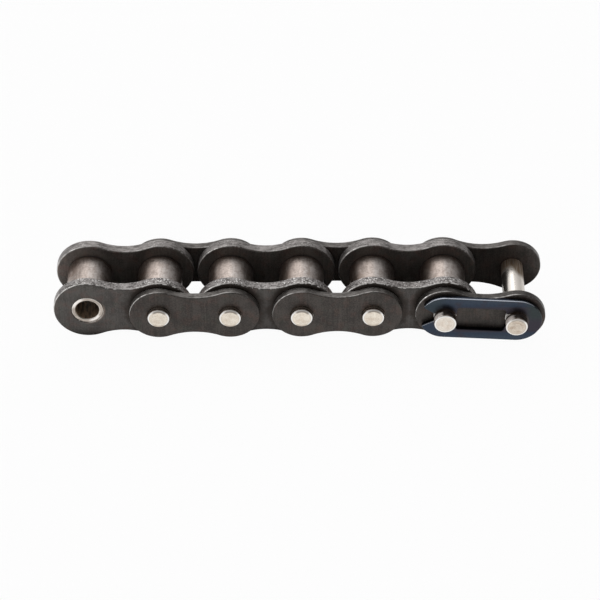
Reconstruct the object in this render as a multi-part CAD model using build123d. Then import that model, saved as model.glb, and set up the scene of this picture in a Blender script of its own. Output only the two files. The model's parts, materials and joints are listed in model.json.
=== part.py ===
from build123d import *
import os
from math import asin, atan2, degrees

# A short length of single-strand roller chain that ends in a spring-clip connecting link.
# Millimetres. X runs along the strand, Y across it and Z up, with the front towards -Y.
# The origin is the centre of the open bush at the free end, halfway across the strand.
# Pin stations are numbered from 0 at the origin, one pitch apart.

# Strand
pitch = 19.05
half_pitch = pitch / 2
inner_links = 3
inner_width = 12.7

# Inner link plates
inner_plate_height = 18.1
inner_plate_waist = 14.3
inner_plate_thickness = 2.9
inner_plate_edge = 0.45

# Outer link plates, and the two plates of the connecting link
outer_plate_height = 15.7
outer_plate_waist = 12.05
outer_plate_thickness = 2.2
outer_plate_edge = 0.4
plate_hole_chamfer = 0.15

# Bushes and rollers
bush_diameter = 8.5
bush_end_stand = 0.06
bush_mouth_round = 0.5
bush_rim_round = 0.3
roller_diameter = 11.91
roller_round = 0.4

# Pins
pin_diameter = 5.96
rivet_head_height = 1.5
rivet_head_round = 0.5
shoulder_stand = 0.45
shoulder_round = 0.2
neck_diameter = 4.4
free_head_height = 2.4
free_head_round = 0.4

# Spring clip
clip_thickness = 1.2
clip_width = 13.4
clip_reach = 6.85
clip_slot_width = 7.4
clip_slot_corner = 0.9
clip_shoulder = 0.75
clip_shoulder_round = 0.3
clip_throat_width = 2.6
clip_throat_reach = 2.9
clip_mouth_width = 7.4
clip_upper_tip_round = 0.55
clip_lower_tip_round = 0.25
clip_edge = 0.25

# Clearances, on the radius or at one side
pin_clearance = 0.05
roller_clearance = 0.05
roller_end_clearance = 0.15
link_side_clearance = 0.1
cover_clearance = 0.03
clip_side_play = 0.05
clip_neck_clearance = 0.05

# How near an edge must lie to the place where it is looked for
hair = 0.01

# Distances out from the middle of the strand
inner_plate_level = inner_width / 2
bush_end_level = inner_plate_level + inner_plate_thickness + bush_end_stand
outer_plate_level = inner_plate_level + inner_plate_thickness + link_side_clearance
outer_face_level = outer_plate_level + outer_plate_thickness
rivet_end_level = outer_face_level + rivet_head_height
shoulder_level = outer_face_level + shoulder_stand
neck_end_level = shoulder_level + clip_thickness + clip_side_play
free_end_level = neck_end_level + free_head_height

# The connecting link hangs from the last bush until its far end stands on the ground too.
last_bush = 2 * inner_links - 1
droop = degrees(asin((inner_plate_height - outer_plate_height) / 2 / pitch))
hanging = Pos(X=last_bush * pitch) * Rot(Y=droop)


def save(name, shape):
    export_step(shape, "parts/" + name + ".step")


def save_pair(name, front_plate, place):
    save(name + "_front", place * front_plate)
    save(name + "_back", place * mirror(front_plate, about=Plane.XZ))


def facing_front(solid, level):
    # Stands up a solid drawn flat, with Y up and its thickness along Z, so that Z points out to the front.
    return Plane.XZ.offset(level).location * solid


def turned(profile):
    # Turns a closed profile of (radius, distance out to the front) about the line across the strand.
    points = [(radius, -out) for radius, out in profile]
    return revolve(make_face(Polyline(points, close=True)), Axis.Y)


def link_plate(height, waist, thickness, edge, hole_diameter, level):
    # A figure of eight: two round lobes that run smoothly into a hollow above and one below.
    lobe = height / 2
    half_waist = waist / 2
    hollow = (half_pitch**2 + half_waist**2 - lobe**2) / (2 * (lobe - half_waist))
    lean = degrees(atan2(half_waist + hollow, half_pitch))
    right_lobe = CenterArc((half_pitch, 0), lobe, lean - 180, 360 - 2 * lean)
    upper_hollow = CenterArc((0, half_waist + hollow), hollow, -lean, 2 * lean - 180)
    left_lobe = mirror(right_lobe, about=Plane.YZ)
    lower_hollow = mirror(upper_hollow, about=Plane.XZ)
    plate = extrude(make_face([right_lobe, upper_hollow, left_lobe, lower_hollow]), thickness)
    plate = fillet(plate.edges().filter_by(GeomType.CIRCLE), edge)
    hole = extrude(Circle(hole_diameter / 2), thickness)
    plate -= [Pos(X=side * half_pitch) * hole for side in (-1, 1)]
    rims = plate.faces().sort_by(Axis.Z)[-1].inner_wires().edges()
    return facing_front(chamfer(rims, plate_hole_chamfer), level)


def end_rims(solid):
    # The circles square to the line across the strand, from the front end to the back end.
    return solid.edges().filter_by(GeomType.CIRCLE).sort_by(Axis.Y)


def sleeve(outer_diameter, inner_diameter, half_length, outer_round, inner_round):
    outer = outer_diameter / 2
    inner = inner_diameter / 2
    front_end = [(inner, half_length), (outer, half_length)]
    back_end = [(outer, -half_length), (inner, -half_length)]
    ring = turned(front_end + back_end)
    ring = fillet(end_rims(ring).sort_by(SortBy.RADIUS)[:2], inner_round)
    return fillet(end_rims(ring).sort_by(SortBy.RADIUS)[-2:], outer_round)


def rivet_end():
    # Half of a pin's profile: the head stands out of the outer plate's face.
    return [(pin_diameter / 2, rivet_end_level), (0, rivet_end_level)]


def free_end():
    # Half of a connecting pin's profile: it stands a little out of the cover plate's face, and the neck
    # for the clip begins at that shoulder.
    radius = pin_diameter / 2
    neck = neck_diameter / 2
    return [
        (radius, shoulder_level),
        (neck, shoulder_level),
        (neck, neck_end_level),
        (radius, neck_end_level),
        (radius, free_end_level),
        (0, free_end_level),
    ]


def pin(front_end, front_round):
    back_end = [(radius, -out) for radius, out in reversed(rivet_end())]
    blank = turned(back_end + front_end)
    blank = fillet(end_rims(blank)[0], front_round)
    return fillet(end_rims(blank)[-1], rivet_head_round)


def connecting_pin():
    blank = pin(free_end(), free_head_round)
    at_shoulder = end_rims(blank).filter_by_position(Axis.Y, -shoulder_level - hair, -shoulder_level + hair)
    return fillet(at_shoulder.sort_by(SortBy.RADIUS)[-1], shoulder_round)


def upright_edges(solid, low, high, inner, outer):
    # The edges along the thickness that lie between two places along X, and between two
    # distances from the middle line.
    edges = solid.edges().filter_by(Axis.Z).filter_by_position(Axis.X, low - hair, high + hair)
    return edges.filter_by(lambda edge: inner - hair < abs(edge.center().Y) < outer + hair)


def fingertip(solid, side):
    # The upright edge farthest from the far pin, above the middle line for side 1 and below it for side -1.
    on_side = solid.edges().filter_by(Axis.Z).filter_by(lambda edge: side * edge.center().Y > 0)
    return on_side.sort_by(Axis.X)[0]


def spring_clip():
    # A hairpin, drawn with the near pin at the origin and the far pin one pitch along. Its closed end
    # holds the far pin's neck, and its two fingers snap over the neck of the near pin.
    recess = neck_diameter / 2 + clip_neck_clearance
    shoulder = recess + clip_shoulder
    slot_end = pitch - shoulder
    half_throat = clip_throat_width / 2
    half_slot = clip_slot_width / 2
    upper_side = [
        (-clip_reach, clip_mouth_width / 2),
        (-clip_throat_reach, half_throat),
        (shoulder, half_throat),
        (shoulder, half_slot),
        (slot_end, half_slot),
        (slot_end, recess),
        (pitch, recess),
    ]
    lower_side = [(x, -y) for x, y in reversed(upper_side)]
    way_in = make_face(Polyline(upper_side + lower_side, close=True))
    way_in += Circle(recess) + Pos(X=pitch) * Circle(recess)
    blank = Pos(X=half_pitch) * SlotOverall(pitch + 2 * clip_reach, clip_width)
    clip = extrude(blank - way_in, clip_thickness)

    clip = fillet(upright_edges(clip, shoulder, slot_end, half_slot, half_slot), clip_slot_corner)
    clip = fillet(upright_edges(clip, shoulder, slot_end, 0, recess), clip_shoulder_round)
    clip = fillet(upright_edges(clip, -recess, recess, half_throat, half_throat), clip_shoulder_round)
    clip = fillet(fingertip(clip, 1), clip_upper_tip_round)
    clip = fillet(fingertip(clip, -1), clip_lower_tip_round)
    clip = fillet(clip.faces().sort_by(Axis.Z)[-1].edges(), clip_edge)
    return facing_front(clip, shoulder_level)


def main():
    os.makedirs("parts", exist_ok=True)
    inner_plate = link_plate(inner_plate_height, inner_plate_waist, inner_plate_thickness,
                             inner_plate_edge, bush_diameter, inner_plate_level)
    outer_plate = link_plate(outer_plate_height, outer_plate_waist, outer_plate_thickness,
                             outer_plate_edge, pin_diameter, outer_plate_level)
    cover_plate = link_plate(outer_plate_height, outer_plate_waist, outer_plate_thickness,
                             outer_plate_edge, pin_diameter + 2 * cover_clearance, outer_plate_level)
    bush = sleeve(bush_diameter, pin_diameter + 2 * pin_clearance, bush_end_level,
                  bush_rim_round, bush_mouth_round)
    roller = sleeve(roller_diameter, bush_diameter + 2 * roller_clearance,
                    inner_width / 2 - roller_end_clearance, roller_round, roller_round)

    for link in range(inner_links):
        first = 2 * link
        save_pair(f"inner_plate_{link + 1}", inner_plate, Pos(X=first * pitch + half_pitch))
        for station in (first, first + 1):
            save(f"bush_{station}", Pos(X=station * pitch) * bush)
            save(f"roller_{station}", Pos(X=station * pitch) * roller)

    for link in range(inner_links - 1):
        first = 2 * link + 1
        save_pair(f"outer_plate_{link + 1}", outer_plate, Pos(X=first * pitch + half_pitch))
        for station in (first, first + 1):
            save(f"rivet_pin_{station}", Pos(X=station * pitch) * pin(rivet_end(), rivet_head_round))

    middle = hanging * Pos(X=half_pitch)
    save("connecting_plate", middle * mirror(outer_plate, about=Plane.XZ))
    save("cover_plate", middle * cover_plate)
    save(f"connecting_pin_{last_bush}", hanging * connecting_pin())
    save(f"connecting_pin_{last_bush + 1}", hanging * Pos(X=pitch) * connecting_pin())
    save("spring_clip", hanging * spring_clip())


main()
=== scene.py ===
import bpy
import json
import math
from mathutils import Matrix, Vector


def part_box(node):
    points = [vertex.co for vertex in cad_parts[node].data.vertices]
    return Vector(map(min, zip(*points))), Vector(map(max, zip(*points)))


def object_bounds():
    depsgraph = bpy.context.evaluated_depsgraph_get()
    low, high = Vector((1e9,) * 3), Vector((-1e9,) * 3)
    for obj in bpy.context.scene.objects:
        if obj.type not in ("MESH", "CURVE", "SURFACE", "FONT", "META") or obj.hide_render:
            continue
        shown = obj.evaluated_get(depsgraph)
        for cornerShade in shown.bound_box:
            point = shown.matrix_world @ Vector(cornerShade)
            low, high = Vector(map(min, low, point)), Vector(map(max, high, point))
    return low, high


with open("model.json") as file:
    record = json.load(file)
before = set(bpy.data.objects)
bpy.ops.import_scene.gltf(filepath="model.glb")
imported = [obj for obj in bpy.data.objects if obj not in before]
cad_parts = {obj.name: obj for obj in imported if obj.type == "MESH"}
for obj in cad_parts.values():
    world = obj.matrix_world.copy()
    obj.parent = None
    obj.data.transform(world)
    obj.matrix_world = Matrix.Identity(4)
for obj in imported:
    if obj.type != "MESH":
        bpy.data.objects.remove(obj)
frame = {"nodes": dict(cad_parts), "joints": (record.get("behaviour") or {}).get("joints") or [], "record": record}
nodes = frame["nodes"]
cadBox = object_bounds()
print("chain loaded:", len(nodes), "pieces")

# the pins' axes, from the open bush at the free end to the bare pin at the other
pivots = {joint["name"]: Vector(joint["pos_m"]) for joint in frame["joints"]}
mounts = {mount["name"]: Vector(mount["pos_m"]) for mount in frame["record"]["mounts"]}
folds = [pivots[f"pivot_{number}"] for number in range(1, 6)]
stations = [mounts["free_bush"]] + folds + [mounts["last_pin"]]


# small helpers for building materials

def newMaterial(name):
    material = bpy.data.materials.new(name)
    material.use_nodes = True
    material.node_tree.nodes.clear()
    return material, material.node_tree


def plug(tree, socket, value):
    if isinstance(value, bpy.types.NodeSocket):
        tree.links.new(value, socket)
    else:
        socket.default_value = value


def put(tree, kind, inputs=None, **options):
    # adds a node; an input is a plain value or another node's socket
    node = tree.nodes.new(kind)
    for key, value in options.items():
        setattr(node, key, value)
    for key, value in (inputs or {}).items():
        plug(tree, node.inputs[key], value)
    return node


def calc(tree, operation, first, second=0.0):
    return put(tree, "ShaderNodeMath", {0: first, 1: second}, operation=operation).outputs[0]


def plus(tree, first, second):
    return calc(tree, "ADD", first, second)


def minus(tree, first, second):
    return calc(tree, "SUBTRACT", first, second)


def times(tree, first, *others):
    # a product; of masks, the place where all of them hold
    for other in others:
        first = calc(tree, "MULTIPLY", first, other)
    return first


def most(tree, first, *others):
    # the largest; of masks, the places where any of them holds
    for other in others:
        first = calc(tree, "MAXIMUM", first, other)
    return first


def besides(tree, mask):
    # all that a mask leaves out
    return minus(tree, 1.0, mask)


def vectorCalc(tree, operation, first, second=(0, 0, 0)):
    node = put(tree, "ShaderNodeVectorMath", {0: first, 1: second}, operation=operation)
    return node.outputs["Value" if operation in ("DOT_PRODUCT", "LENGTH") else "Vector"]


def splitUp(tree, vector):
    return put(tree, "ShaderNodeSeparateXYZ", {0: vector}).outputs


def mixColour(tree, amount, first, second, blend="MIX"):
    # in a colour mix the amount is input 0, and the colours are inputs 6 and 7 and output 2
    node = put(tree, "ShaderNodeMix", data_type="RGBA", blend_type=blend)
    plug(tree, node.inputs[0], amount)
    plug(tree, node.inputs[6], first)
    plug(tree, node.inputs[7], second)
    return node.outputs[2]


def dulled(tree, colour, share):
    # the colour at a share of its brightness
    return mixColour(tree, 1.0, colour, (share, share, share, 1), "MULTIPLY")


# how the settings below are written: a grain is (patches to a metre, detail, roughness), a streak
# is (patches to a metre along each axis, detail, roughness), a step is (from, to) or (from, to,
# least, full), a way is a direction, and distances are in metres

noiseMiddle = 0.5


def ramp(tree, value, low, high, least=0.0, full=1.0):
    # a smooth step from one value to another
    inputs = {"Value": value, "From Min": low, "From Max": high, "To Min": least, "To Max": full}
    return put(tree, "ShaderNodeMapRange", inputs, interpolation_type="SMOOTHSTEP").outputs[0]


def noise(tree, where, scale, detail, rough):
    inputs = {"Vector": where, "Scale": scale, "Detail": detail, "Roughness": rough}
    return put(tree, "ShaderNodeTexNoise", inputs).outputs["Fac"]


def shifted(tree, place, shift, scale=(1, 1, 1)):
    # a shift of its own gives each piece its own patches
    inputs = {"Vector": place, "Location": (shift, 0, 0), "Scale": scale}
    return put(tree, "ShaderNodeMapping", inputs).outputs[0]


def streaks(tree, place, shift, scale, detail, rough):
    # noise squeezed along each axis, so it runs out in streaks along the one with the least
    return noise(tree, shifted(tree, place, shift, scale), 1, detail, rough)


def swing(tree, fuzz, amount):
    # a noise's swing to both sides of its middle
    return times(tree, minus(tree, fuzz, noiseMiddle), amount)


def blended(tree, *parts):
    # a sum of noises, each with its share
    fuzz, share = parts[0]
    total = times(tree, fuzz, share)
    for fuzz, share in parts[1:]:
        total = plus(tree, total, times(tree, fuzz, share))
    return total


def objectPlace(tree):
    return put(tree, "ShaderNodeTexCoord").outputs["Object"]


def leaning(tree, way):
    # how far the surface faces one way, from -1 to 1
    normal = put(tree, "ShaderNodeTexCoord").outputs["Normal"]
    return vectorCalc(tree, "DOT_PRODUCT", normal, way)


def acrossness(tree):
    # 1 where the surface faces the front or the back, 0 where it faces round the sides
    normal = put(tree, "ShaderNodeTexCoord").outputs["Normal"]
    return calc(tree, "ABSOLUTE", splitUp(tree, normal)[1])


def fromAxis(tree, place, axis):
    return vectorCalc(tree, "SUBTRACT", place, (axis.x, 0, axis.z))


def axisDistance(tree, place, axis):
    # how far a point lies from a pin's axis
    flat = vectorCalc(tree, "MULTIPLY", fromAxis(tree, place, axis), (1, 0, 1))
    return vectorCalc(tree, "LENGTH", flat)


def reach(tree, place, axis, way):
    # how far a point lies one way from a pin's axis
    return vectorCalc(tree, "DOT_PRODUCT", fromAxis(tree, place, axis), way)


def sector(tree, place, axis, way, step):
    # the part round a pin's axis that lies one way from it
    towards = calc(tree, "DIVIDE", reach(tree, place, axis, way), axisDistance(tree, place, axis))
    return ramp(tree, towards, *step)


def bumped(tree, height, strength, distance):
    inputs = {"Strength": strength, "Distance": distance, "Height": height}
    return put(tree, "ShaderNodeBump", inputs).outputs[0]


def finishWith(tree, colour, metallic, rough, normal):
    inputs = {"Base Color": colour, "Metallic": metallic, "Roughness": rough, "Normal": normal}
    shader = put(tree, "ShaderNodeBsdfPrincipled", inputs)
    output = put(tree, "ShaderNodeOutputMaterial")
    tree.links.new(shader.outputs[0], output.inputs[0])


def dress(name, material):
    for slot in nodes[name].material_slots:
        slot.material = material


def stationsIn(name):
    # the pin axes that pass through a piece
    low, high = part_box(name)
    return [spot for spot in stations if low.x < spot.x < high.x and low.z < spot.z < high.z]


# link plates: dark oiled steel with sheared edges, and rims with a painted highlight

plateLooks = {
    "innerFront": {
        "face": (0.121, 0.110, 0.102, 1), "faceDark": (0.065, 0.058, 0.054, 1),
        "edge": (0.36, 0.335, 0.325, 1), "edgeDark": (0.075, 0.066, 0.062, 1),
        "edgeLines": (1750, 1900, 1750), "edgeContrast": 0.10, "edgeRelief": 1.8,
        "flecks": 1.0, "rim": 1.0, "jointOilAndShade": 0.25, "lobeShade": 0.78,
    },
    "innerBack": {
        "face": (0.118, 0.105, 0.096, 1), "faceDark": (0.066, 0.058, 0.053, 1),
        "edge": (0.33, 0.306, 0.295, 1), "edgeDark": (0.113, 0.102, 0.097, 1),
        "edgeLines": (420, 2300, 420), "edgeContrast": 0.11, "edgeRelief": 0.7,
        "flecks": 0.3, "rim": 0.8, "jointOilAndShade": 0.5, "lobeShade": 0.3,
    },
    "outer": {
        "face": (0.090, 0.077, 0.069, 1), "faceDark": (0.046, 0.039, 0.035, 1),
        "edge": (0.17, 0.157, 0.148, 1), "edgeDark": (0.060, 0.053, 0.048, 1),
        "edgeLines": (620, 2500, 620), "edgeContrast": 0.13, "edgeRelief": 0.5,
        "flecks": 0.1, "rim": 0.7, "jointOilAndShade": 0.5,
    },
    "cover": {
        "face": (0.078, 0.067, 0.060, 1), "faceDark": (0.040, 0.034, 0.030, 1),
        "edge": (0.090, 0.082, 0.076, 1), "edgeDark": (0.034, 0.030, 0.027, 1),
        "edgeLines": (620, 2500, 620), "edgeContrast": 0.13, "edgeRelief": 0.5,
        "flecks": 0.1, "rim": 1.0, "jointOilAndShade": 0.5,
    },
}


tintLook = {
    "patch": (330, 3, 0.55), "coolShift": 3.7,
    "warm": (1.16, 0.96, 0.92, 1), "warmStep": (0.48, 0.66, 0.0, 0.8),
    "cool": (0.90, 1.0, 0.96, 1), "coolStep": (0.50, 0.68, 0.0, 0.7),
}


def tinted(tree, place, colour):
    # faint warm and cool patches, a few millimetres wide
    look = tintLook
    warm = ramp(tree, noise(tree, place, *look["patch"]), *look["warmStep"])
    aside = shifted(tree, place, look["coolShift"])
    cool = ramp(tree, noise(tree, aside, *look["patch"]), *look["coolStep"])
    colour = mixColour(tree, warm, colour, look["warm"], "MULTIPLY")
    return mixColour(tree, cool, colour, look["cool"], "MULTIPLY")


oilShadeLook = {
    "oilAndShade": (0.024, 0.016, 0.011, 1), "rust": (0.130, 0.074, 0.046, 1),
    "rustGrain": (2900, 2, 0.5), "rustStep": (0.52, 0.66), "wanderStep": (0.3, 0.7), "bushExtra": 0.0012,
    "joint": {"grain": (1500, 4, 0.75), "wander": 0.0005, "inner": 0.0029, "outer": 0.0039},
    "lobe": {"grain": (420, 3, 0.6), "wander": 0.0006, "inner": 0.0082, "outer": 0.0104},
}


def unevenRing(tree, place, spots, creep, extra, strength):
    # an uneven dark ring round the pins' axes, oil with painted shade; extra widens the ring
    wander = noise(tree, place, *creep["grain"])
    wander = ramp(tree, wander, *oilShadeLook["wanderStep"], -creep["wander"], creep["wander"])
    amount = 0.0
    for spot in spots:
        away = plus(tree, axisDistance(tree, place, spot), wander)
        ring = ramp(tree, away, creep["inner"] + extra, creep["outer"] + extra, strength, 0.0)
        amount = most(tree, amount, ring)
    return amount


brownPatchLook = {
    "markColour": (0.30, 0.235, 0.195, 1), "way": (0.8, 0, -0.6), "sideStep": (0.0012, 0.0036),
    "ringStep": (0.0043, 0.0050, 0.75, 0.0),
}


def brownPatchBeside(tree, place, spot):
    # a lighter brown patch outside the lower right of a bush
    side = ramp(tree, reach(tree, place, spot, brownPatchLook["way"]), *brownPatchLook["sideStep"])
    ring = ramp(tree, axisDistance(tree, place, spot), *brownPatchLook["ringStep"])
    return times(tree, side, ring)


faceLook = {
    "cloud": (240, 4, 0.6), "scratch": ((2100, 300, 130), 2, 0.5), "toneStep": (0.40, 0.60),
    "cloudShare": 0.34, "scratchShare": 0.20, "speckShare": 0.46,
    "duller": {"inner_plate_2_front": 0.84, "inner_plate_3_front": 0.93},  # painted shade: these faces lie recessed between the outer plates
    "inwardStep": (0.6, 0.9), "inwardShare": 1.6,  # painted light: the back plates' inward faces, in shade between the plates, are lightened
}


def plateFace(tree, name, look, place, own, speck, spots, seed):
    # cloudy, with fine upright scratches, warm and cool patches, and oil with painted contact shade at the joints
    cloud = noise(tree, own, *faceLook["cloud"])
    scratch = streaks(tree, place, seed, *faceLook["scratch"])
    tone = blended(tree, (cloud, faceLook["cloudShare"]), (scratch, faceLook["scratchShare"]),
                   (speck, faceLook["speckShare"]))
    colour = mixColour(tree, ramp(tree, tone, *faceLook["toneStep"]), look["faceDark"], look["face"])
    colour = dulled(tree, tinted(tree, own, colour), faceLook["duller"].get(name, 1.0))
    inner = name.startswith("inner")
    if inner and name.endswith("back"):
        inward = ramp(tree, leaning(tree, (0, -1, 0)), *faceLook["inwardStep"])
        colour = mixColour(tree, inward, colour, dulled(tree, colour, faceLook["inwardShare"]))
    extra = oilShadeLook["bushExtra"] if inner else 0.0
    # oil round the joints, with painted contact shade close round the heads
    jointOilAndShade = unevenRing(tree, place, spots, oilShadeLook["joint"], extra, look["jointOilAndShade"])
    rusty = ramp(tree, noise(tree, own, *oilShadeLook["rustGrain"]), *oilShadeLook["rustStep"])
    colour = mixColour(tree, jointOilAndShade, colour, mixColour(tree, rusty, oilShadeLook["oilAndShade"], oilShadeLook["rust"]))
    if inner:
        # painted shade: a dark ring just outside the outer plates' round ends, where they shade the inner plates
        covered = [spot for spot in spots if spot != stations[0]]
        lobeShade = unevenRing(tree, place, covered, oilShadeLook["lobe"], 0.0, look["lobeShade"])
        colour = mixColour(tree, lobeShade, colour, oilShadeLook["oilAndShade"])
        colour = mixColour(tree, brownPatchBeside(tree, place, spots[0]), colour, brownPatchLook["markColour"])
    return colour


edgeLook = {
    "edgeStep": (0.72, 0.30), "linesDetail": (4, 0.72), "linesShare": 0.72, "coarse": (620, 2, 0.5),
    "coarseShare": 0.28, "fleck": (2100, 2, 0.5), "fleckStep": (0.63, 0.70),
    "fleckMetal": (0.78, 0.76, 0.74, 1), "highStep": (0.0077, 0.0086, 0.0, 0.06),
}


def shearedEdge(tree, look, place, own, high, seed):
    # torn grain or drawn lines, and bright flecks
    lines = streaks(tree, place, seed, look["edgeLines"], *edgeLook["linesDetail"])
    coarse = noise(tree, own, *edgeLook["coarse"])
    tone = blended(tree, (lines, edgeLook["linesShare"]), (coarse, edgeLook["coarseShare"]))
    spread = look["edgeContrast"]
    light = ramp(tree, tone, noiseMiddle - spread, noiseMiddle + spread)
    colour = mixColour(tree, light, look["edgeDark"], look["edge"])
    fleck = plus(tree, noise(tree, own, *edgeLook["fleck"]), high)
    fleck = ramp(tree, fleck, *edgeLook["fleckStep"], 0.0, look["flecks"])
    return mixColour(tree, fleck, colour, edgeLook["fleckMetal"]), tone, fleck


rimLook = {
    "fromEdge": (0.18, 0.38), "toFace": (0.94, 0.74), "markColour": (0.95, 0.92, 0.89, 1),
    "broken": (1100, 3, 0.65), "brokenStep": (0.36, 0.60), "brokenLeast": 0.3,
    "rimLightWay": (-0.77, 0, 0.64), "rimLightStep": (0.36, 0.66),
    "torn": (1250, 2, 0.6), "tornStep": (0.55, 0.62), "tornUp": (0.2, 0.5),
}


def rimHighlight(tree, look, own, facing, high):
    # a painted highlight where the rim faces up and to the left, towards the light, and bright torn flecks along
    # the top
    onRim = times(tree, ramp(tree, facing, *rimLook["fromEdge"]), ramp(tree, facing, *rimLook["toFace"]))
    least = look["rim"] * rimLook["brokenLeast"]
    broken = ramp(tree, noise(tree, own, *rimLook["broken"]), *rimLook["brokenStep"], least, look["rim"])
    upward = ramp(tree, leaning(tree, rimLook["rimLightWay"]), *rimLook["rimLightStep"])
    rubbed = times(tree, onRim, broken, upward)
    torn = plus(tree, noise(tree, own, *rimLook["torn"]), high)
    torn = ramp(tree, torn, *rimLook["tornStep"], 0.0, look["flecks"])
    torn = times(tree, onRim, torn, ramp(tree, leaning(tree, (0, 0, 1)), *rimLook["tornUp"]))
    return most(tree, rubbed, torn)


plateFinish = {
    "speck": (2700, 2, 0.6), "metallic": 0.62, "faceRough": 0.46, "edgeRough": 0.40, "speckSwing": 0.2,
    "rimPolish": 0.22, "fleckPolish": 0.12, "faceRelief": 0.25, "bump": (0.6, 0.00006),
}


def plateSteel(name, look, spots, seed):
    material, tree = newMaterial(name + "_steel")
    finish = plateFinish
    place = objectPlace(tree)
    own = shifted(tree, place, seed)
    facing = acrossness(tree)
    speck = noise(tree, own, *finish["speck"])
    high = ramp(tree, splitUp(tree, place)[2], *edgeLook["highStep"])  # the lobes' tops are torn most
    faceColour = plateFace(tree, name, look, place, own, speck, spots, seed)
    edgeColour, edgeTone, fleck = shearedEdge(tree, look, place, own, high, seed)
    # rubbed: the rims' painted highlight
    rubbed = rimHighlight(tree, look, own, facing, high)
    onEdge = ramp(tree, facing, *edgeLook["edgeStep"])
    colour = mixColour(tree, onEdge, faceColour, edgeColour)
    colour = mixColour(tree, rubbed, colour, rimLook["markColour"])
    rough = ramp(tree, onEdge, 0, 1, finish["faceRough"], finish["edgeRough"])
    rough = plus(tree, rough, swing(tree, speck, finish["speckSwing"]))
    rough = minus(tree, rough, times(tree, rubbed, finish["rimPolish"]))
    rough = minus(tree, rough, times(tree, fleck, finish["fleckPolish"]))
    relief = times(tree, edgeTone, ramp(tree, onEdge, 0, 1, finish["faceRelief"], look["edgeRelief"]))
    finishWith(tree, colour, finish["metallic"], rough, bumped(tree, relief, *finish["bump"]))
    return material


# rollers: satin steel, with painted shade beside the plates and browner patches down the left flank

rollerLook = {
    "warm": (0.615, 0.530, 0.480, 1), "rightHalf": (0.56, 0.515, 0.488, 1), "dark": (0.335, 0.280, 0.250, 1),
    "rightHalfStep": (-0.12, 0.16), "duller": {"roller_0": 0.93, "roller_4": 0.86},
    "mottle": (1700, 4, 0.7), "rubbed": ((1400, 330, 1400), 3, 0.6), "cloud": (330, 3, 0.6),
    "mottleShare": 0.45, "rubbedShare": 0.25, "cloudShare": 0.30, "toneStep": (0.38, 0.60),
    "brown": (0.20, 0.128, 0.094, 1), "cornerShadeFrom": 0.70, "cornerShade": 0.75,
    "flankStep": (0.10, 0.85, 0.0, 0.75), "patchStep": (0.40, 0.58, 0.25, 1.0),
    "rough": 0.36, "toneSwing": 0.25, "mottleRelief": 0.6, "rubbedRelief": 0.4, "bump": (0.35, 0.00004),
}


def rollerSteel(name, look, seed):
    material, tree = newMaterial(name + "_steel")
    place = objectPlace(tree)
    own = shifted(tree, place, seed)
    mottle = noise(tree, own, *look["mottle"])
    rubbed = streaks(tree, place, seed, *look["rubbed"])
    cloud = noise(tree, own, *look["cloud"])
    tone = blended(tree, (mottle, look["mottleShare"]), (rubbed, look["rubbedShare"]),
                   (cloud, look["cloudShare"]))
    # the left half is tinted warmer than the right
    rightHalf = ramp(tree, leaning(tree, (1, 0, 0)), *look["rightHalfStep"])
    bright = mixColour(tree, rightHalf, look["warm"], look["rightHalf"])
    colour = mixColour(tree, ramp(tree, tone, *look["toneStep"]), look["dark"], bright)
    colour = dulled(tree, colour, look["duller"].get(name, 1.0))
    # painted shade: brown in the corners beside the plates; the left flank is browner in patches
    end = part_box(name)[1].y
    out = calc(tree, "ABSOLUTE", splitUp(tree, place)[1])
    cornerShade = ramp(tree, out, end * look["cornerShadeFrom"], end, 0.0, look["cornerShade"])
    flank = ramp(tree, leaning(tree, (-1, 0, 0)), *look["flankStep"])
    flank = times(tree, flank, ramp(tree, cloud, *look["patchStep"]))
    colour = mixColour(tree, most(tree, cornerShade, flank), colour, look["brown"])
    rough = plus(tree, look["rough"], swing(tree, tone, look["toneSwing"]))
    relief = blended(tree, (mottle, look["mottleRelief"]), (rubbed, look["rubbedRelief"]))
    finishWith(tree, colour, 1.0, rough, bumped(tree, relief, *look["bump"]))
    return material


# bushes: bright turned lips with painted highlights and shade, a dark oily bore

bushLook = {
    "lip": (0.88, 0.83, 0.775, 1), "lipDark": (0.62, 0.56, 0.51, 1), "shade": (0.34, 0.29, 0.25, 1),
    "face": (0.54, 0.475, 0.42, 1), "faceDark": (0.37, 0.32, 0.28, 1), "faceStep": (0.955, 0.99),
    "rings": (6500, 2, 0.6), "cloud": (700, 3, 0.6), "ringsShare": 0.35, "cloudShare": 0.65,
    "toneStep": (0.36, 0.60), "lightWay": (-0.6, 0, 0.8), "lightWayStep": (-0.45, 0.15),
    "highlight": (1.0, 0.945, 0.90, 1),
    "upper": ((-0.72, 0, 0.69), (0.80, 0.98)), "upperRing": (0.0033, 0.0037),
    "lower": ((0.55, 0, -0.83), (0.84, 0.98)), "lowerRing": (0.0040, 0.0036),
    "mouthShade": (0.13, 0.105, 0.075, 1), "left": ((-0.88, 0, -0.47), (0.45, 0.85)),
    "leftRing": (0.0035, 0.0033, 0.0, 0.8),
    "bore": (0.30, 0.205, 0.135, 1), "boreDark": (0.10, 0.073, 0.052, 1), "boreStep": (0.00318, 0.00308),
    "boreStreak": ((1600, 260, 1600), 3, 0.6), "boreStreakStep": (0.4, 0.6), "boreMetallic": 0.35,
    "rough": 0.17, "faceRough": 0.30, "boreRougher": 0.33, "toneSwing": 0.15, "bump": (0.3, 0.00002),
}


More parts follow.
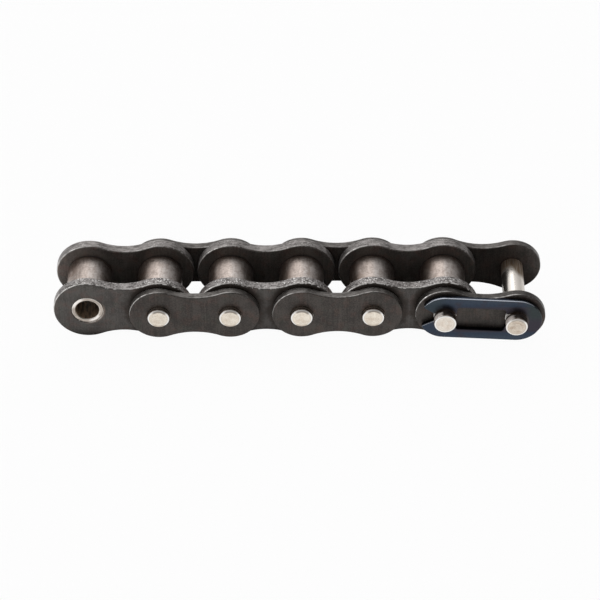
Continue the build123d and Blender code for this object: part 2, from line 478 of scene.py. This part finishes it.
def bushSteel(name, look, axis, seed):
    material, tree = newMaterial(name + "_steel")
    place = objectPlace(tree)
    away = axisDistance(tree, place, axis)
    turned = put(tree, "ShaderNodeCombineXYZ", {0: away}).outputs[0]
    rings = noise(tree, turned, *look["rings"])
    cloud = noise(tree, shifted(tree, place, seed), *look["cloud"])
    tone = blended(tree, (rings, look["ringsShare"]), (cloud, look["cloudShare"]))
    light = ramp(tree, tone, *look["toneStep"])
    lipColour = mixColour(tree, light, look["lipDark"], look["lip"])
    # painted shade: lips that face away from the light at the upper left take the shade colour
    litFacing = ramp(tree, leaning(tree, look["lightWay"]), *look["lightWayStep"])
    lipColour = mixColour(tree, litFacing, look["shade"], lipColour)
    faceColour = mixColour(tree, light, look["faceDark"], look["face"])
    onFace = ramp(tree, acrossness(tree), *look["faceStep"])
    colour = mixColour(tree, onFace, lipColour, faceColour)
    # painted highlights on the mouth at its upper left and inside its lower right, and painted shade inside its
    # left
    upper = times(tree, sector(tree, place, axis, *look["upper"]), ramp(tree, away, *look["upperRing"]))
    lower = times(tree, sector(tree, place, axis, *look["lower"]), ramp(tree, away, *look["lowerRing"]))
    mouthShade = times(tree, sector(tree, place, axis, *look["left"]), ramp(tree, away, *look["leftRing"]))
    colour = mixColour(tree, most(tree, upper, lower), colour, look["highlight"])
    colour = mixColour(tree, mouthShade, colour, look["mouthShade"])
    inBore = ramp(tree, away, *look["boreStep"])
    streak = ramp(tree, streaks(tree, place, seed, *look["boreStreak"]), *look["boreStreakStep"])
    colour = mixColour(tree, inBore, colour, mixColour(tree, streak, look["boreDark"], look["bore"]))
    rough = ramp(tree, onFace, 0, 1, look["rough"], look["faceRough"])
    rough = plus(tree, rough, swing(tree, tone, look["toneSwing"]))
    rough = plus(tree, rough, times(tree, inBore, look["boreRougher"]))
    metallic = ramp(tree, inBore, 0, 1, 1.0, look["boreMetallic"])
    finishWith(tree, colour, metallic, rough, bumped(tree, tone, *look["bump"]))
    return material


# pins: ground barrels, and ends with a duller grain inside a painted highlight ring

pinLooks = {
    "riveted": {
        "rim": (0.98, 0.96, 0.93, 1), "end": (1.0, 0.925, 0.81, 1), "endDark": (0.77, 0.69, 0.59, 1),
        "smudge": (0.66, 0.52, 0.40, 1), "smudged": 0.3, "arc": 0.9, "foot": 0.9, "shoulder": 0.0,
    },
    "clipped": {
        "rim": (0.98, 0.96, 0.93, 1), "end": (0.99, 0.92, 0.83, 1), "endDark": (0.76, 0.69, 0.61, 1),
        "smudge": (0.66, 0.52, 0.40, 1), "smudged": 0.3, "arc": 0.0, "foot": 0.0, "shoulder": 1.0,
    },
    "stained": {
        "rim": (0.97, 0.94, 0.90, 1), "end": (0.82, 0.735, 0.63, 1), "endDark": (0.59, 0.51, 0.43, 1),
        "smudge": (0.46, 0.34, 0.25, 1), "smudged": 0.6, "arc": 0.5, "foot": 0.0, "shoulder": 1.0,
    },
}
pinStates = {"connecting_pin_5": "clipped", "connecting_pin_6": "stained"}


pinEnd = {
    "toneStep": (0.36, 0.64),
    "smudge": (620, 3, 0.6), "smudgeStep": (0.44, 0.62), "smudgeRing": (0.0026, 0.0012),
    "ringWidth": 0.00052, "ringBlend": 0.0001, "lineWidth": 0.00018, "lineBlend": 0.00004, "lineShade": 0.6,
    "arc": (0.28, 0.245, 0.215, 1), "arcRing": (0.00205, 0.00221), "arcFlat": (0.84, 0.95),
    "arcSector": ((0.12, 0, 0.99), (0.62, 0.86)),
    "foot": (0.60, 0.51, 0.42, 1), "footSector": ((0, 0, -1), (0.72, 0.92)), "footRing": (0.0021, 0.0025),
}


def pinEndColour(tree, look, place, own, axis, away, facing, tone, ring):
    colour = mixColour(tree, ramp(tree, tone, *pinEnd["toneStep"]), look["endDark"], look["end"])
    smudge = ramp(tree, noise(tree, own, *pinEnd["smudge"]), *pinEnd["smudgeStep"], 0.0, look["smudged"])
    smudge = times(tree, smudge, ramp(tree, away, *pinEnd["smudgeRing"]))
    colour = mixColour(tree, smudge, colour, look["smudge"])
    # a painted highlight ring at the edge, and a painted dark line inside it, standing for the rounded edge's
    # reflections
    line = ring - pinEnd["lineWidth"]
    insideLine = ramp(tree, away, line - pinEnd["ringBlend"], line)
    darkLine = times(tree, insideLine, ramp(tree, away, ring + pinEnd["lineBlend"], ring), pinEnd["lineShade"])
    colour = mixColour(tree, darkLine, colour, look["endDark"])
    colour = mixColour(tree, ramp(tree, away, ring, ring + pinEnd["ringBlend"]), colour, look["rim"])
    # painted shade: a dark arc inside the top of the ring, and a darker foot at the bottom
    arc = times(tree, ramp(tree, away, *pinEnd["arcRing"]), ramp(tree, facing, *pinEnd["arcFlat"]),
                sector(tree, place, axis, *pinEnd["arcSector"]), look["arc"])
    colour = mixColour(tree, arc, colour, pinEnd["arc"])
    foot = times(tree, sector(tree, place, axis, *pinEnd["footSector"]),
                 ramp(tree, away, *pinEnd["footRing"], 0.0, look["foot"]))
    return mixColour(tree, foot, colour, pinEnd["foot"])


pinBarrel = {
    "bright": (0.80, 0.755, 0.70, 1), "shaded": (0.97, 0.90, 0.82, 1),
    "rightStep": (-0.15, 0.5), "rightEnd": (0.0115, 0.0105),
    "oilAndShade": (0.16, 0.115, 0.09, 1), "oilFrom": (0.0121, 0.0123), "oilPatches": (0.35, 0.60, 0.75, 1.0),
    "upperLeftHighlight": (0.95, 0.86, 0.80, 1), "upperLeftWay": (-0.75, 0, 0.66), "upperLeftFuzz": 0.3, "upperLeftStep": (0.90, 1.08),
    "upperLeftFrom": (0.0137, 0.0142),
    "brown": (0.21, 0.147, 0.097, 1), "brownStep": (0.0042, 0.0070), "brownLean": 0.0026,
    "brownStreaks": (0.34, 0.58, 0.72, 1.0),
    "shoulder": (1.0, 0.97, 0.93, 1), "shoulderStep": (0.01208, 0.01204), "shoulderFrom": (-0.0113, -0.0116),
}


pinFinish = {
    "endStep": (0.55, 0.75), "grain": (3000, 3, 0.65), "cloud": (800, 3, 0.55), "grainShare": 0.55,
    "cloudShare": 0.45, "streak": ((2600, 160, 2600), 3, 0.6), "ground": ((260, 7000, 260), 2, 0.5),
    "rough": 0.24, "endRough": 0.34, "groundSwing": 0.1, "darkenedRough": 0.15, "rightRough": 0.12,
    "brownSoft": 0.3, "rightSoft": 0.70, "highlightSoft": 0.85,
    "groundRelief": 0.15, "streakRelief": 0.10, "bump": (0.35, 0.00003),
}


def pinSteel(name, look, axis, seed):
    material, tree = newMaterial(name + "_steel")
    finish = pinFinish
    place = objectPlace(tree)
    own = shifted(tree, place, seed)
    low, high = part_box(name)
    ring = (high.x - low.x) / 2 - pinEnd["ringWidth"]
    away = axisDistance(tree, place, axis)
    facing = acrossness(tree)
    along = splitUp(tree, place)[1]
    out = calc(tree, "ABSOLUTE", along)
    onEnd = ramp(tree, facing, *finish["endStep"])
    grain = noise(tree, own, *finish["grain"])
    cloud = noise(tree, own, *finish["cloud"])
    tone = blended(tree, (grain, finish["grainShare"]), (cloud, finish["cloudShare"]))
    endColour = pinEndColour(tree, look, place, own, axis, away, facing, tone, ring)
    # oil lies in patches on the stretch that stands out of the plates; its upper left, towards the light, is
    # painted bright as a highlight, and the oil on the other sides also stands for painted shade
    standing = ramp(tree, out, *pinBarrel["oilFrom"])
    fuzz = times(tree, grain, pinBarrel["upperLeftFuzz"])
    upperLeftHighlight = ramp(tree, plus(tree, leaning(tree, pinBarrel["upperLeftWay"]), fuzz), *pinBarrel["upperLeftStep"])
    upperLeftHighlight = times(tree, upperLeftHighlight, standing, ramp(tree, out, *pinBarrel["upperLeftFrom"]))
    oilShaded = times(tree, standing, besides(tree, upperLeftHighlight), ramp(tree, cloud, *pinBarrel["oilPatches"]))
    # painted shade: between the plates it is browned towards the back, most on the right, where the back plate
    # shades it and shows in it
    streak = streaks(tree, place, seed, *finish["streak"])
    # painted light: the right side, left dark by the room, takes the lighter shaded colour and is made partly matt
    rightward = ramp(tree, leaning(tree, (1, 0, 0)), *pinBarrel["rightStep"])
    rightward = times(tree, rightward, ramp(tree, out, *pinBarrel["rightEnd"]))
    backward = plus(tree, along, times(tree, rightward, pinBarrel["brownLean"]))
    backShade = times(tree, ramp(tree, backward, *pinBarrel["brownStep"]),
                    ramp(tree, streak, *pinBarrel["brownStreaks"]))
    barrel = mixColour(tree, rightward, pinBarrel["bright"], pinBarrel["shaded"])
    barrel = mixColour(tree, backShade, barrel, pinBarrel["brown"])
    barrel = mixColour(tree, oilShaded, barrel, pinBarrel["oilAndShade"])
    barrel = mixColour(tree, upperLeftHighlight, barrel, pinBarrel["upperLeftHighlight"])
    colour = mixColour(tree, onEnd, barrel, endColour)
    # painted highlight: the shoulder is white and mostly matt, so that it shows as bright glints
    shoulder = times(tree, ramp(tree, out, *pinBarrel["shoulderStep"]),
                     ramp(tree, along, *pinBarrel["shoulderFrom"], 0.0, look["shoulder"]))
    colour = mixColour(tree, shoulder, colour, pinBarrel["shoulder"])
    ground = streaks(tree, place, seed, *finish["ground"])
    insideRing = times(tree, onEnd, ramp(tree, away, ring + pinEnd["ringBlend"], ring))
    rough = ramp(tree, insideRing, 0, 1, finish["rough"], finish["endRough"])
    rough = plus(tree, rough, swing(tree, ground, finish["groundSwing"]))
    rough = plus(tree, rough, times(tree, most(tree, oilShaded, backShade), finish["darkenedRough"]))
    rough = plus(tree, rough, times(tree, rightward, finish["rightRough"]))
    # the painted highlights, light and shade are less mirror-like
    soft = most(tree, times(tree, backShade, finish["brownSoft"]), times(tree, rightward, finish["rightSoft"]),
                times(tree, most(tree, upperLeftHighlight, shoulder), finish["highlightSoft"]))
    mirror = times(tree, onEnd, besides(tree, shoulder))
    metallic = besides(tree, times(tree, soft, besides(tree, mirror)))
    relief = blended(tree, (times(tree, onEnd, tone), 1.0), (ground, finish["groundRelief"]),
                     (streak, finish["streakRelief"]))
    finishWith(tree, colour, metallic, rough, bumped(tree, relief, *finish["bump"]))
    return material


# spring clip: blued spring steel, tempered unevenly, with painted highlight and shade on its rims

clipLook = {
    "blue": (0.040, 0.053, 0.078, 1), "pale": (0.050, 0.065, 0.090, 1), "paleStep": (0.0046, 0.0062),
    "violet": (0.054, 0.045, 0.054, 1), "cloud": (230, 3, 0.5), "cloudStep": (0.50, 0.68, 0.0, 0.6),
    "heatRing": (0.0022, 0.0046, 0.8, 0.0), "slotStep": (0.0048, 0.0039, 0.0, 0.8), "slotStart": (0.0, 0.004),
    "straw": (0.145, 0.118, 0.108, 1), "strawRing": (0.0029, 0.0037, 0.75, 0.0),
    "green": (0.044, 0.058, 0.056, 1), "leftEnd": (0.001, -0.003), "leftGreen": 0.5,
    "rightEnd": (0.0015, 0.0045), "rightGreen": 0.8, "greenUp": (-0.002, 0.001),
    "fine": (1900, 3, 0.6), "fineStep": (0.40, 0.62, 0.0, 0.18), "fineDark": (0.02, 0.022, 0.028, 1),
    "side": (0.016, 0.020, 0.030, 1), "sideStep": (0.25, 0.05),
    "litFacing": (0.62, 0.66, 0.74, 1), "litFacingAmount": 0.6, "lightWay": (-0.3, 0, 0.95), "lightWayStep": (0.10, 0.45),
    "rimStep": (0.25, 0.45), "faceStep": (0.80, 0.58), "overStep": (-0.01262, -0.01276),
    "upperRim": (0.0035, 0.0041), "fingertip": (-0.0022, -0.0028),
    "rough": 0.30, "fineSwing": 0.12, "litFacingPolish": 0.1, "bump": (0.15, 0.00002),
}


def besideAxis(tree, along, axis, step, full=1.0):
    # a step along the strand that starts at a pin's axis
    start, end = step
    return ramp(tree, along, axis.x + start, axis.x + end, 0.0, full)


def roundPins(tree, place, spots, ring):
    # a ring round each pin
    amount = 0.0
    for spot in spots:
        amount = most(tree, amount, ramp(tree, axisDistance(tree, place, spot), *ring))
    return amount


def bluedSteel(name, look, spots):
    material, tree = newMaterial(name + "_steel")
    place = objectPlace(tree)
    along, across, height = splitUp(tree, place)
    facing = acrossness(tree)
    near, far = spots
    # violet near the slot and the pins, green towards both ends, blue between
    cloud = noise(tree, place, *look["cloud"])
    fine = noise(tree, place, *look["fine"])
    fromMiddle = calc(tree, "ABSOLUTE", minus(tree, height, (near.z + far.z) / 2))
    pastPin = besideAxis(tree, along, near, look["slotStart"])
    bySlot = times(tree, ramp(tree, fromMiddle, *look["slotStep"]), pastPin)
    heat = most(tree, roundPins(tree, place, spots, look["heatRing"]), bySlot)
    violet = most(tree, ramp(tree, cloud, *look["cloudStep"]), heat)
    blue = mixColour(tree, ramp(tree, fromMiddle, *look["paleStep"]), look["blue"], look["pale"])
    colour = mixColour(tree, violet, blue, look["violet"])
    colour = mixColour(tree, roundPins(tree, place, spots, look["strawRing"]), colour, look["straw"])
    leftEnd = besideAxis(tree, along, near, look["leftEnd"], look["leftGreen"])
    rightEnd = besideAxis(tree, along, far, look["rightEnd"], look["rightGreen"])
    green = times(tree, most(tree, leftEnd, rightEnd), ramp(tree, height, *look["greenUp"]))
    colour = mixColour(tree, green, colour, look["green"])
    colour = mixColour(tree, ramp(tree, fine, *look["fineStep"]), colour, look["fineDark"])
    # painted shade: the clip's edges are darkened
    colour = mixColour(tree, ramp(tree, facing, *look["sideStep"]), colour, look["side"])
    # painted highlight: the outer rim is lightened along the top and on the lower fingertip, where it faces up
    onRim = most(tree, ramp(tree, facing, *look["rimStep"]), ramp(tree, across, *look["overStep"]))
    onRim = times(tree, onRim, ramp(tree, facing, *look["faceStep"]),
                  ramp(tree, leaning(tree, look["lightWay"]), *look["lightWayStep"]))
    fingertip = besideAxis(tree, along, near, look["fingertip"])
    outside = most(tree, ramp(tree, height, *look["upperRim"]), fingertip)
    litFacing = times(tree, onRim, outside, look["litFacingAmount"])
    colour = mixColour(tree, litFacing, colour, look["litFacing"])
    rough = plus(tree, look["rough"], swing(tree, fine, look["fineSwing"]))
    rough = minus(tree, rough, times(tree, litFacing, look["litFacingPolish"]))
    finishWith(tree, colour, 1.0, rough, bumped(tree, fine, *look["bump"]))
    return material


for seed, name in enumerate(sorted(nodes)):
    spots = stationsIn(name)
    if name.startswith("inner_plate"):
        kind = "innerFront" if name.endswith("front") else "innerBack"
        dress(name, plateSteel(name, plateLooks[kind], spots, seed))
    elif "plate" in name:
        kind = "cover" if name.startswith("cover") else "outer"
        dress(name, plateSteel(name, plateLooks[kind], spots, seed))
    elif name.startswith("roller"):
        dress(name, rollerSteel(name, rollerLook, seed))
    elif name.startswith("bush"):
        dress(name, bushSteel(name, bushLook, spots[0], seed))
    elif "pin" in name:
        state = pinStates.get(name, "riveted")
        dress(name, pinSteel(name, pinLooks[state], spots[0], seed))
    else:
        dress(name, bluedSteel(name, clipLook, spots))
print("steel finishes done")


# floor: white to the eye and in the steel, with the chain's shadow kept

white = (1, 1, 1, 1)
floorLook = {
    "size": 3.0, "colour": (0.85, 0.85, 0.85, 1), "underChain": (0.22, 0.21, 0.20, 1), "whiteToEye": 0.96,
    "whiteInSteel": 0.88, "shadowEdge": 0.0012,
}


def boxDistance(tree, place, half):
    # how far a point on the floor lies outside the chain's footprint
    outside = vectorCalc(tree, "SUBTRACT", vectorCalc(tree, "ABSOLUTE", place), half)
    split = splitUp(tree, outside)
    return most(tree, split[0], split[1])


def layFloor(look):
    low, high = cadBox
    middle = (low.x + high.x) / 2
    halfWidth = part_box("outer_plate_1_back")[1].y
    bpy.ops.mesh.primitive_plane_add(size=look["size"], location=(middle, 0, low.z))
    floor = bpy.context.object
    floor.name = "floor"
    material, tree = newMaterial("pale_floor")
    away = boxDistance(tree, objectPlace(tree), (high.x - middle, halfWidth, 1))
    ray = put(tree, "ShaderNodeLightPath").outputs
    inSteel = most(tree, ray["Is Glossy Ray"], ray["Is Transmission Ray"])
    beyond = ramp(tree, away, -look["shadowEdge"], look["shadowEdge"])
    glow = times(tree, inSteel, beyond, look["whiteInSteel"])
    # painted shadow: under the chain's footprint the floor is dark in the steel's reflections
    shaded = times(tree, inSteel, besides(tree, beyond))
    colour = mixColour(tree, shaded, look["colour"], look["underChain"])
    matt = put(tree, "ShaderNodeBsdfDiffuse", {"Color": colour}).outputs[0]
    glowing = put(tree, "ShaderNodeEmission", {"Color": white, "Strength": 1.0}).outputs[0]
    solid = put(tree, "ShaderNodeMixShader", {0: glow, 1: matt, 2: glowing}).outputs[0]
    # the eye sees through it to the white room, and it lets light through from below, so a link
    # that swings under it still shows
    clear = put(tree, "ShaderNodeBsdfTransparent", {"Color": white}).outputs[0]
    fromBelow = put(tree, "ShaderNodeNewGeometry").outputs["Backfacing"]
    seenThrough = most(tree, fromBelow, times(tree, ray["Is Camera Ray"], look["whiteToEye"]))
    surface = put(tree, "ShaderNodeMixShader", {0: seenThrough, 1: solid, 2: clear}).outputs[0]
    output = put(tree, "ShaderNodeOutputMaterial")
    tree.links.new(surface, output.inputs[0])
    floor.data.materials.append(material)


layFloor(floorLook)


# room: a pale tent, open and dark at the front, brightest above the back, and white to the camera

roomLook = {
    "walls": 0.40, "leftward": 0.18,
    "opening": 0.05, "openFront": (-0.60, -0.72), "openLow": (0.72, 0.60),
    "overhead": 1.0, "overheadHigh": (0.50, 0.85), "overheadBack": (-0.10, 0.40),
    "glowFrom": (-0.16, 0.78, 0.60), "glowStep": (0.62, 1.0, 0.0, 0.55),
}


def paintRoom(look):
    world = bpy.data.worlds.new("studio")
    bpy.context.scene.world = world
    world.use_nodes = True
    tree = world.node_tree
    tree.nodes.clear()
    direction = put(tree, "ShaderNodeTexCoord").outputs["Generated"]
    rightward, backward, upward = splitUp(tree, direction)
    opening = times(tree, ramp(tree, backward, *look["openFront"]), ramp(tree, upward, *look["openLow"]))
    walls = plus(tree, times(tree, rightward, -look["leftward"]), look["walls"])
    raised = ramp(tree, upward, *look["overheadHigh"])
    raised = times(tree, raised, ramp(tree, backward, *look["overheadBack"]))
    lit = times(tree, walls, besides(tree, raised))
    lit = plus(tree, lit, times(tree, raised, look["overhead"]))
    lit = times(tree, lit, besides(tree, opening))
    light = plus(tree, lit, times(tree, opening, look["opening"]))
    glow = ramp(tree, vectorCalc(tree, "DOT_PRODUCT", direction, look["glowFrom"]), *look["glowStep"])
    light = most(tree, light, plus(tree, walls, glow))
    room = put(tree, "ShaderNodeBackground", {"Color": white, "Strength": light}).outputs[0]
    toCamera = put(tree, "ShaderNodeBackground", {"Color": white, "Strength": 1.0}).outputs[0]
    ray = put(tree, "ShaderNodeLightPath").outputs["Is Camera Ray"]
    surface = put(tree, "ShaderNodeMixShader", {0: ray, 1: room, 2: toCamera}).outputs[0]
    output = put(tree, "ShaderNodeOutputWorld")
    tree.links.new(surface, output.inputs[0])


paintRoom(roomLook)


# soft boxes: one above the back and one at the left

softBoxes = [
    {"name": "top_light", "place": (-0.05, 0.38, 0.50), "width": 0.50, "depth": 0.36, "power": 0.42},
    {"name": "left_light", "place": (-0.50, -0.08, 0.36), "width": 0.36, "depth": 0.30, "power": 0.40},
]


def hangLight(box):
    low, high = cadBox
    aim = (low + high) / 2
    lamp = bpy.data.lights.new(box["name"], "AREA")
    lamp.shape = "RECTANGLE"
    lamp.size = box["width"]
    lamp.size_y = box["depth"]
    lamp.energy = box["power"]
    holder = bpy.data.objects.new(box["name"], lamp)
    holder.location = box["place"]
    holder.rotation_euler = (aim - Vector(box["place"])).to_track_quat("-Z", "Y").to_euler()
    holder.visible_camera = False
    bpy.context.scene.collection.objects.link(holder)


for box in softBoxes:
    hangLight(box)


# camera: a long lens from the front, above; the target lands on its pixel of the square frame

shot = {
    "target": stations[3], "targetPixel": (301.55, 286.84), "frame": 600,
    "distance": 0.8141, "elevation": 40.54, "azimuth": 0.06, "roll": 0.222,
    "lens": 181.5, "sensor": 36.0, "farthest": 20,
}


def setCamera(shot):
    lift = math.radians(shot["elevation"])
    turn = math.radians(shot["azimuth"])
    back = Vector((-math.sin(turn) * math.cos(lift), -math.cos(turn) * math.cos(lift), math.sin(lift)))
    right = Vector((math.cos(turn), -math.sin(turn), 0))
    up = back.cross(right)
    camera = bpy.data.cameras.new("camera")
    camera.lens = shot["lens"]
    camera.sensor_width = shot["sensor"]
    camera.clip_end = shot["farthest"]
    holder = bpy.data.objects.new("camera", camera)
    bpy.context.scene.collection.objects.link(holder)
    perPixel = shot["distance"] * shot["sensor"] / shot["lens"] / shot["frame"]
    middle = shot["frame"] / 2
    sideways = (middle - shot["targetPixel"][0]) * perPixel
    downward = (middle - shot["targetPixel"][1]) * perPixel
    aim = shot["target"] + right * sideways - up * downward
    axes = Matrix((right, up, back)).transposed().to_4x4()
    tilt = Matrix.Rotation(-math.radians(shot["roll"]), 4, "Z")
    holder.matrix_world = Matrix.Translation(aim + back * shot["distance"]) @ axes @ tilt
    bpy.context.scene.camera = holder


setCamera(shot)
bpy.context.scene.view_settings.view_transform = "Standard"
print("floor, light and camera done")
